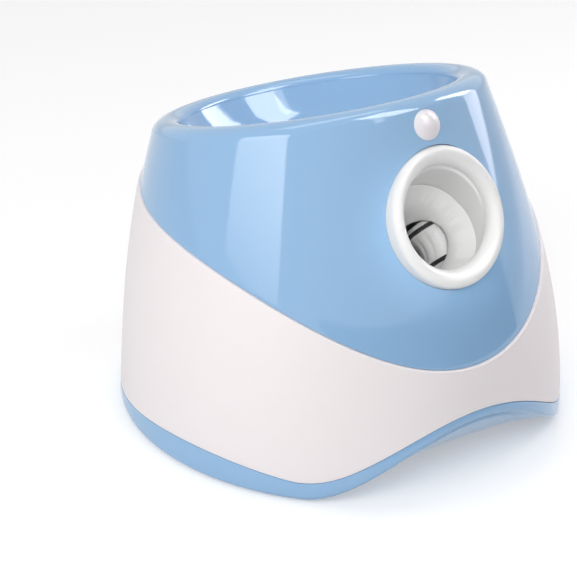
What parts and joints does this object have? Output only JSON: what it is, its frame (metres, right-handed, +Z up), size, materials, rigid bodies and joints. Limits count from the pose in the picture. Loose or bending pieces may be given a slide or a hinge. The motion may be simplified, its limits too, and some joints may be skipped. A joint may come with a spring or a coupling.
{
  "type": "ball launcher",
  "caption": "Round-bodied launcher for mini balls: tilted bowl on top, paddle feeder, two spinning wheels and a ringed muzzle in front.",
  "frame": {"origin": "on the ground under the rubber feet, in the middle of the machine's width and depth; the round base's centre lies 4.7 mm in front of it", "axes": "+Z up, -Y out of the front with the muzzle, +X to the right seen from the front"},
  "size_m": [0.32, 0.3176, 0.2561],
  "materials": {
    "blue_gloss": "smooth gloss",
    "white_satin": "satin, very faintly pink",
    "bezel_white": "smooth satin gloss",
    "frame_white": "fine moulded matte",
    "wheel_white": "smooth",
    "rubber_black": "matte rubber",
    "foot_rubber": "matte rubber",
    "steel": "turned and brushed",
    "motor_can": "drawn steel can",
    "brass": "turned brass",
    "circuit_board": "solder resist green",
    "dome_milky": "milky translucent",
    "light_lens": "clear tinted",
    "black_plastic": "fine matte",
    "dark_plastic": "fine matte",
    "cell_wrap": "printed sleeve, plain",
    "paddle_blue": "moulded matte"
  },
  "bodies": {
    "housing": {"upper_shell": "blue_gloss", "lower_shell": "white_satin", "base_tray": "blue_gloss", "rubber_feet": "foot_rubber", "hopper_bowl": "blue_gloss", "drop_chute": "frame_white", "muzzle_bezel": "bezel_white", "barrel": "bezel_white", "feed_cradle": "frame_white", "motor_left": "motor_can", "motor_right": "motor_can", "motor_screws": "steel", "paddle_bushes": "brass", "gear_cover": "paddle_blue", "feeder_motor": "motor_can", "sensor_dome": "dome_milky", "sensor_board": "circuit_board", "control_panel": "blue_gloss", "status_lights": "light_lens", "dc_socket": "black_plastic", "control_board": "circuit_board", "battery_box": "dark_plastic", "battery_cells": "cell_wrap", "battery_contacts": "steel", "shell_screws": "steel", "cradle_screws": "steel", "chute_screws": "steel"},
    "wheel_left_body": {"wheel_left": "wheel_white", "grips_left": "rubber_black", "axle_left": "steel"},
    "wheel_right_body": {"wheel_right": "wheel_white", "grips_right": "rubber_black", "axle_right": "steel"},
    "feeder_body": {"feed_paddle": "paddle_blue", "paddle_shaft": "steel", "feeder_gear": "frame_white"},
    "pinion_body": {"feeder_pinion": "brass", "feeder_axle": "steel"},
    "power_button_body": {"power_button": "bezel_white"},
    "range_button_body": {"range_button": "bezel_white"},
    "cover_body": {"battery_cover": "blue_gloss"}
  },
  "joints": [
    {"name": "wheel_left_spin", "type": "hinge", "parent": "housing", "child": "wheel_left_body", "pos_m": [-0.05855, -0.06268, 0.13368], "axis": [0, 0.7071, 0.7071], "continuous": true},
    {"name": "wheel_right_spin", "type": "hinge", "parent": "housing", "child": "wheel_right_body", "pos_m": [0.05855, -0.06268, 0.13368], "axis": [0, 0.7071, 0.7071], "continuous": true},
    {"name": "feeder_spin", "type": "hinge", "parent": "housing", "child": "feeder_body", "pos_m": [0, -0.05137, 0.05873], "axis": [1, 0, 0], "continuous": true},
    {"name": "pinion_spin", "type": "hinge", "parent": "housing", "child": "pinion_body", "pos_m": [0, -0.02137, 0.05873], "axis": [1, 0, 0], "continuous": true},
    {"name": "power_button_press", "type": "slide", "parent": "housing", "child": "power_button_body", "axis": [0, -1, 0], "range_m": [0, 0.0016], "stiffness_N_per_m": 400, "springref_m": -0.0008},
    {"name": "range_button_press", "type": "slide", "parent": "housing", "child": "range_button_body", "axis": [0, -1, 0], "range_m": [0, 0.0016], "stiffness_N_per_m": 400, "springref_m": -0.0008},
    {"name": "battery_cover_lift", "type": "slide", "parent": "housing", "child": "cover_body", "axis": [0, 0, -1], "range_m": [0, 0.03]}
  ],
  "couplings": [
    {"joint": "pinion_spin", "follows": "feeder_spin", "ratio": -3}
  ]
}
